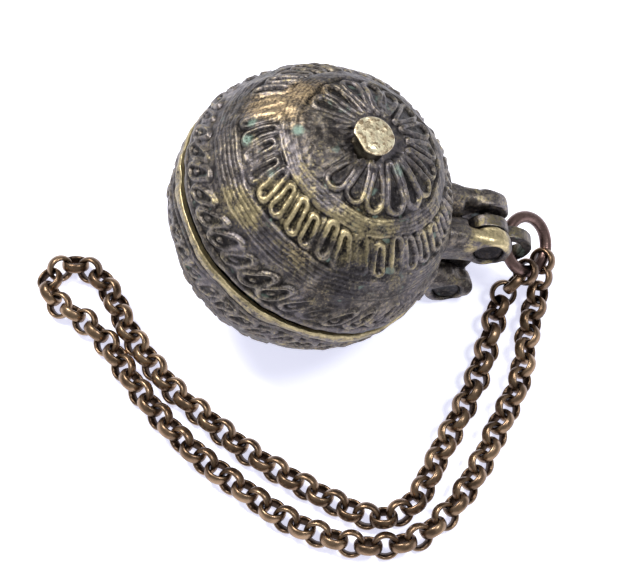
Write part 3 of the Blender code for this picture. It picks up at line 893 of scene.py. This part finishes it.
BOWL_SPOTS = {
    "flat": ((10, 40, 9, 0.7), (35, 150, 10, 0.4)),
    "worn": (
        (25, 10, 14, 0.8), (60, -80, 12, 0.4), (55, 100, 14, 0.5), (62, 170, 12, 0.4), (40, -150, 12, 0.5),
    ),
    "copper": ((50, -40, 12, 0.5), (66, 130, 10, 0.6)),
    "dark": ((60, -60, 16, 0.5), (50, 170, 14, 0.5)),
    "green": ((48, 60, 3, 0.8), (52, -100, 2.5, 0.8), (30, 120, 3, 0.7)),
    "rim": 1.0,
    "painted_seam_shade": 0.0,
}
LID_RIM_DROP = 0.75 * MM
BOWL_RIM_DROP = 0.1 * MM


def make_shells():
    lid = shell_mesh("lid", 1, lid_height, LID_SPOTS, LID_FRAME, LID_RIM_DROP)
    linked(lid, "lid_ornament", PATINA, "lid", "patinated_brass", "lid_shell")
    bowl = shell_mesh("bowl", -1, bowl_height, BOWL_SPOTS, BOWL_FRAME, BOWL_RIM_DROP)
    linked(bowl, "bowl_ornament", PATINA, "bowl", "patinated_brass", "bowl_shell")


make_shells()

# ---- hinge

LUG_RADIUS = 4.5 * MM
LUG_INNER = 2.42 * MM
LUG_VOXEL = 0.2 * MM
RECESS_RADIUS = 2.85 * MM
RECESS_DEPTH = 1.1 * MM
PIN_HOLE_RADIUS = 1.6 * MM
PIN_SINK = 0.5 * MM
PIN_SHANK = 1.3 * MM
# The swelling of the ball that both arms grow from: its reach from the ball's centre, and half its width
ROOT_INNER = INNER_RADIUS
ROOT_OUTER = BALL_RADIUS + 2.6 * MM
ROOT_HALF = 3.05 * MM
ARM_BOXY = 0.7


def lathe_y(name, profile, centre, steps=64):
    """A closed mesh of a profile [(radius, y)] turned about a line along Y, with both ends capped."""
    turn = np.linspace(0, 2 * pi, steps, endpoint=False)
    rows = [
        [(centre[0] + r * cos(a), y, centre[2] + r * sin(a)) for a in turn] for r, y in profile
    ]
    return mesh_from_grid(name, np.array(rows), wrap_rows=False, caps=True)


def rounded_barrel(radius, inner, outer, inner_round, outer_round):
    """Profile of a barrel along Y with a small rounding inside and a large one outside."""
    profile = [(0.3 * radius, inner)]
    for k in range(7):
        a = pi / 2 * k / 6
        profile.append((radius - inner_round * (1 - sin(a)), inner + inner_round * (1 - cos(a))))
    for k in range(9):
        a = pi / 2 * k / 8
        profile.append((radius - outer_round * (1 - cos(a)), outer - outer_round * (1 - sin(a))))
    return profile + [(0.3 * radius, outer)]


def arm_mesh(name, foot, pin, y_middle, widths, heights, steps=12, sides=28):
    """A closed loft from the ball to the barrel, its section a rounded box."""
    along = np.array((pin[0] - foot[0], 0, pin[2] - foot[2]))
    length = np.linalg.norm(along)
    along = along / length
    across = np.array((-along[2], 0, along[0]))
    turn = np.linspace(0, 2 * pi, sides, endpoint=False)
    rows = []
    for k in range(steps + 1):
        share = k / steps
        ease = share * share * (3 - 2 * share)
        width = widths[0] + (widths[1] - widths[0]) * ease
        height = heights[0] + (heights[1] - heights[0]) * ease
        x = height * boxy(np.cos(turn), ARM_BOXY)
        y = width * boxy(np.sin(turn), ARM_BOXY)
        middle = np.array((foot[0], y_middle, foot[2])) + along * length * share
        rows.append(middle + x[:, None] * across + y[:, None] * np.array((0, 1, 0)))
    return mesh_from_grid(name, np.array(rows), wrap_rows=False, caps=True)


def fused(name, parts, voxel, smooth_steps, cutters=()):
    """Closed meshes melted into one cast shape, then cut."""
    shape = bmesh.new()
    for part in parts:
        shape.from_mesh(outward(part))
    mesh = bpy.data.meshes.new(name)
    shape.to_mesh(mesh)
    shape.free()
    body = scene_object(name, mesh)
    remesh = body.modifiers.new("fuse", "REMESH")
    remesh.mode = "VOXEL"
    remesh.voxel_size = voxel
    smooth = body.modifiers.new("soften", "SMOOTH")
    smooth.iterations = smooth_steps
    smooth.factor = 0.5
    tools = []
    for cutter in cutters:
        tool = scene_object(cutter.name, outward(cutter))
        tools.append(tool)
        cut = body.modifiers.new("cut", "BOOLEAN")
        cut.operation = "DIFFERENCE"
        cut.solver = "EXACT"
        cut.object = tool
    bpy.context.view_layer.update()
    made = evaluated(body)
    for tool in tools:
        bpy.data.objects.remove(tool, do_unlink=True)
    return made


def roughen(mesh, size, depth, seed):
    """Pushes a mesh's points in and out along their normals by smooth noise."""
    places = vertex_places(mesh)
    normals = vertex_normals(mesh)
    put_places(mesh, places + normals * (depth * ripple(places, size, seed))[:, None])


def paint_lug(mesh, pin, gold_and_highlight, seed):
    """Gold on top of the barrel, worn brass with a painted highlight; darker in the end recess; painted shade on
    what faces down.
    """
    places = vertex_places(mesh)
    normals = vertex_normals(mesh)
    noise = ripple(places, 3 * MM, seed)
    away = np.hypot(places[:, 0] - pin.x, places[:, 2] - pin.z)
    facing = normals @ np.array((0.1, -0.25, 0.95))
    barrel = 1 - smoothstep(away, LUG_RADIUS + 0.5 * MM, LUG_RADIUS + 3 * MM)
    # Upward faces of the barrel: worn brass and a painted highlight
    worn = 0.85 * gold_and_highlight * smoothstep(facing + 0.25 * noise, 0.2, 1.0) * barrel
    in_recess = 1 - smoothstep(away, RECESS_RADIUS - 0.1 * MM, RECESS_RADIUS + 0.5 * MM)
    # Faces turned down get painted shade
    shade = smoothstep(-facing, 0.2, 0.9) * 0.6
    hollow = np.clip(np.maximum(in_recess, shade), 0, 1)
    tan = 0.5 * smoothstep(noise, 0.7, 1.6)
    paint(mesh, worn=worn * (1 - in_recess), hollow=hollow, copper=tan, green=0.0, high=0.3 * (1 - hollow))


def make_lugs(tag, body, frame_of, height, gold_and_highlight, lumps, seed):
    """The pair of lugs of one half, in its own frame, each an arm and a barrel."""
    pin = Vector((HINGE_RADIUS, 0, height))
    reach = math.hypot(HINGE_RADIUS, height)
    foot = pin * ((BALL_RADIUS - 1.9 * MM) / reach)
    foot.z += math.copysign(0.4 * MM, height)
    for side, where in ((-1, "near"), (1, "far")):
        name = f"{tag}_lug_{where}"
        inner, outer = side * LUG_INNER, side * LUG_OUTER
        profile = rounded_barrel(LUG_RADIUS, LUG_INNER, LUG_OUTER, 0.5 * MM, 1.35 * MM)
        barrel = lathe_y(name + "_barrel", [(r, side * y) for r, y in profile], pin)
        arm = arm_mesh(
            name + "_arm", foot, pin, (inner + outer) / 2, (2.5 * MM, 1.9 * MM), (5.0 * MM, 4.1 * MM)
        )
        root = arm_mesh(
            name + "_root", pin * (ROOT_INNER / reach), pin * (ROOT_OUTER / reach), side * ROOT_HALF,
            (ROOT_HALF, 0.93 * ROOT_HALF), (4.9 * MM, 4.2 * MM),
        )
        far = side * (LUG_OUTER + 1 * MM)
        hole = lathe_y("hole", [(PIN_HOLE_RADIUS, side * 1.5 * MM), (PIN_HOLE_RADIUS, far)], pin, 32)
        dish = [
            (0.5 * RECESS_RADIUS, side * (LUG_OUTER - RECESS_DEPTH)),
            (0.93 * RECESS_RADIUS, side * (LUG_OUTER - RECESS_DEPTH)),
            (RECESS_RADIUS, side * (LUG_OUTER - 0.7 * RECESS_DEPTH)),
            (1.04 * RECESS_RADIUS, side * (LUG_OUTER - 0.25 * RECESS_DEPTH)),
            (1.25 * RECESS_RADIUS, side * (LUG_OUTER + 0.1 * MM)),
            (1.25 * RECESS_RADIUS, far),
        ]
        mesh = fused(name, [barrel, arm, root], LUG_VOXEL, 5, [hole, lathe_y("dish", dish, pin, 48)])
        roughen(mesh, 2.6 * MM, lumps, seed + side)
        roughen(mesh, 0.9 * MM, 0.025 * MM, seed + side + 9)
        mesh.transform(frame_of)
        paint_lug(mesh, frame_of @ pin, gold_and_highlight[where], seed + side)
        linked(mesh, name, PATINA, body, "patinated_brass")


def softened(node, voxel, smooth_steps):
    """A copy of a CAD node's shape with its edges worn round."""
    mesh = frame["nodes"][node].data.copy()
    shape = bmesh.new()
    shape.from_mesh(mesh)
    bmesh.ops.remove_doubles(shape, verts=shape.verts, dist=1e-6)
    shape.to_mesh(mesh)
    shape.free()
    return fused(node, [mesh], voxel, smooth_steps)


def make_hinge_link():
    mesh = softened("hinge_link", 0.16 * MM, 6)
    roughen(mesh, 2.2 * MM, 0.04 * MM, 51)
    places = vertex_places(mesh)
    noise = ripple(places, 2.5 * MM, 52)
    # Upward faces: wear and a painted highlight
    top = smoothstep(vertex_normals(mesh)[:, 2] + 0.2 * noise, 0.4, 1.0)
    # The sides beside the lugs, where they do not face up, get painted shade
    beside = smoothstep(np.abs(places[:, 1]), 1.6 * MM, 2.1 * MM)
    green = 0.5 * smoothstep(noise, 0.9, 1.7) * (places[:, 0] > EYE.x - 2 * MM)
    hollow = np.clip(0.7 * beside * (1 - top), 0, 1)
    paint(mesh, worn=0.35 * top, hollow=hollow, copper=0.0, green=green, high=0.3)
    linked(mesh, "hinge_link_worn", LINK_BRASS, "bowl", "link_brass", "hinge_link")


def make_pin(node, body, middle):
    """A pin whose two peened heads lie in the lugs' recesses, dished and uneven."""
    low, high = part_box(node)
    end = high.y - PIN_SINK
    head = (high.z - low.z) / 2 + 0.12 * MM
    half = [
        (0.25 * head, end - 0.35 * MM), (0.55 * head, end - 0.3 * MM), (0.8 * head, end - 0.08 * MM),
        (0.95 * head, end - 0.06 * MM), (head, end - 0.25 * MM), (head, end - 0.6 * MM),
        (PIN_SHANK, end - 0.7 * MM),
    ]
    profile = half + [(r, -y) for r, y in reversed(half)]
    mesh = outward(lathe_y(node, profile, middle, 48))
    roughen(mesh, 1.1 * MM, 0.05 * MM, 61)
    paint(mesh, worn=0.0, copper=0.0, green=0.0, high=0.0, hollow=0.85)
    linked(mesh, node + "_peened", PIN_BRASS, body, "pin_brass", node)


make_lugs("lid", "lid", LID_FRAME, HINGE_HEIGHT, {"near": 1.0, "far": 0.12}, 0.11 * MM, 31)
make_lugs("bowl", "bowl", BOWL_FRAME, -HINGE_HEIGHT, {"near": 0.0, "far": 0.0}, 0.26 * MM, 41)
make_hinge_link()
make_pin("hinge_pin_upper", "lid", UPPER_PIN)
make_pin("hinge_pin_lower", "bowl", LOWER_PIN)

# ---- ring and knob


def make_ring():
    centre, axis, radius, wire = node_circle("chain_ring")
    along = unit(np.array((1.0, 0, 0)) - axis * axis[0])
    across = np.cross(axis, along)
    turn = np.linspace(0, 2 * pi, 120, endpoint=False)
    side = np.linspace(0, 2 * pi, 28, endpoint=False)
    rows = []
    for a in turn:
        out = cos(a) * along + sin(a) * across
        rows.append(
            centre + (radius + wire * np.cos(side))[:, None] * out + (wire * np.sin(side))[:, None] * axis
        )
    mesh = outward(mesh_from_grid("ring", np.array(rows), wrap_rows=True))
    roughen(mesh, 3 * MM, 0.03 * MM, 71)
    linked(mesh, "chain_ring_wire", RING_BRONZE, "ring", "ring_bronze", "chain_ring")


KNOB_RADIUS = 3.9 * MM
KNOB_STEPS = 144
# The straight place on the head's outline: the way it faces, and its distance from the middle
KNOB_CUT_WAY = radians(-147)
KNOB_CUT_REACH = 3.4 * MM


def knob_outline(lon):
    """The head's radius round its edge: nearly round, with a straight place and a small uneven run."""
    reach = KNOB_RADIUS * (1 + 0.015 * np.sin(2 * lon + 0.7) + 0.01 * np.sin(5 * lon + 2))
    facing = np.cos(lon - KNOB_CUT_WAY)
    return np.where(facing > 0.3, np.minimum(reach, KNOB_CUT_REACH / np.maximum(facing, 0.3)), reach)


def make_knob():
    """The head, its neck and its foot, in layers of (share of the outline, height, painted shade)."""
    lon = np.linspace(0, 2 * pi, KNOB_STEPS, endpoint=False)
    outline = knob_outline(lon)
    top = KNOB_TOP
    under = top - 1.15 * MM
    foot = GROUND - 0.2 * MM
    layers = [(share, top - 0.05 * MM * share**4, 0) for share in np.linspace(0.04, 0.93, 22)]
    layers += [(0.97, top - 0.1 * MM, 0), (0.99, top - 0.18 * MM, 0.3), (1.0, top - 0.3 * MM, 0.85)]
    layers += [(0.98, top - 0.6 * MM, 0.95), (0.94, top - 0.85 * MM, 0.95), (0.88, under + 0.1 * MM, 1)]
    layers += [(0.78, under, 1), (0.66, under - 0.05 * MM, 1), (0.58, under - 0.3 * MM, 1)]
    layers += [(0.56, under - 0.8 * MM, 1), (0.58, under - 1.3 * MM, 1)]
    layers += [(0.7, foot + 0.35 * MM, 1), (0.9, foot, 1)]
    rows = np.array([
        np.stack(
            (share * outline * np.cos(lon), share * outline * np.sin(lon), np.full(KNOB_STEPS, z)), axis=-1
        )
        for share, z, _ in layers
    ])
    flat = rows.reshape(-1, 3)
    face = np.repeat([z > top - 0.2 * MM for _, z, _ in layers], KNOB_STEPS)
    dents = -0.10 * MM * smoothstep(ripple(flat, 1.2 * MM, 81), 0.5, 1.6)
    dents = dents + 0.05 * MM * ripple(flat, 4 * MM, 82)
    flat[:, 2] += np.where(face, dents - 0.05 * MM, 0.4 * dents)
    mesh = outward(mesh_from_grid("knob", flat.reshape(rows.shape), wrap_rows=False, caps=True))
    mesh.transform(KNOB_FRAME)
    # The head's edge and side, its underside, the neck and the foot get painted shade
    shade = np.repeat([s for _, _, s in layers], KNOB_STEPS)
    paint(mesh, hollow=np.concatenate((shade, (0, 1))))
    linked(mesh, "lid_knob_worn", KNOB_BRASS, "lid", "worn_brass", "lid_knob")


make_ring()
make_knob()

# ---- floor and light


FLOOR_WHITE = (0.8, 0.8, 0.8, 1)
# What the floor adds for the camera and in reflections; it is bluish, which tints the shadows
FLOOR_GLOW = (0.6, 0.61, 0.76, 1)
WORLD_COLOUR = (0.95, 0.97, 1.0, 1)
WORLD_LIGHT = 0.4


def plain_white(name):
    """A diffuse floor that also glows, but only to the camera and in reflections."""
    material = bpy.data.materials.new(name)
    material.use_nodes = True
    tree = material.node_tree
    tree.nodes.clear()
    add, link = tree.nodes.new, tree.links.new
    diffuse = add("ShaderNodeBsdfDiffuse")
    diffuse.inputs["Color"].default_value = FLOOR_WHITE
    glow = add("ShaderNodeEmission")
    glow.inputs["Color"].default_value = FLOOR_GLOW
    path = add("ShaderNodeLightPath")
    seen = path.outputs["Is Camera Ray"]
    for kind in ("Is Glossy Ray", "Is Transmission Ray"):
        either = add("ShaderNodeMath")
        either.operation = "MAXIMUM"
        link(seen, either.inputs[0])
        link(path.outputs[kind], either.inputs[1])
        seen = either.outputs[0]
    both = add("ShaderNodeAddShader")
    link(diffuse.outputs[0], both.inputs[0])
    link(glow.outputs[0], both.inputs[1])
    mix = add("ShaderNodeMixShader")
    link(seen, mix.inputs[0])
    link(diffuse.outputs[0], mix.inputs[1])
    link(both.outputs[0], mix.inputs[2])
    link(mix.outputs[0], add("ShaderNodeOutputMaterial").inputs["Surface"])
    return material


def make_floor():
    bpy.ops.mesh.primitive_plane_add(size=3, location=(0, 0, 0))
    floor = bpy.context.object
    floor.name = "floor"
    floor.data.materials.append(plain_white("white_floor"))


def make_world():
    """Soft light from all round, which the camera sees as white."""
    world = bpy.data.worlds.new("studio")
    world.use_nodes = True
    bpy.context.scene.world = world
    tree = world.node_tree
    back = tree.nodes["Background"]
    back.inputs["Color"].default_value = WORLD_COLOUR
    path = tree.nodes.new("ShaderNodeLightPath")
    level = tree.nodes.new("ShaderNodeMapRange")
    level.inputs["To Min"].default_value = WORLD_LIGHT
    level.inputs["To Max"].default_value = 1.0
    tree.links.new(path.outputs["Is Camera Ray"], level.inputs["Value"])
    tree.links.new(level.outputs["Result"], back.inputs["Strength"])


def soft_light(name, place, size, power, colour=(1, 1, 1)):
    data = bpy.data.lights.new(name, "AREA")
    data.shape = "SQUARE"
    data.size = size
    data.energy = power
    data.color = colour
    light = scene_object(name, data)
    light.location = place
    light.rotation_euler = (BALL_CENTRE - Vector(place)).to_track_quat("-Z", "Y").to_euler()


make_floor()
make_world()
soft_light("key", (-0.28, 0.2, 0.62), 0.2, 4.2, (1.0, 0.98, 0.95))
soft_light("fill", (0.3, -0.1, 0.6), 0.14, 1.8, (0.97, 0.98, 1.0))
bpy.context.scene.view_settings.view_transform = "Standard"
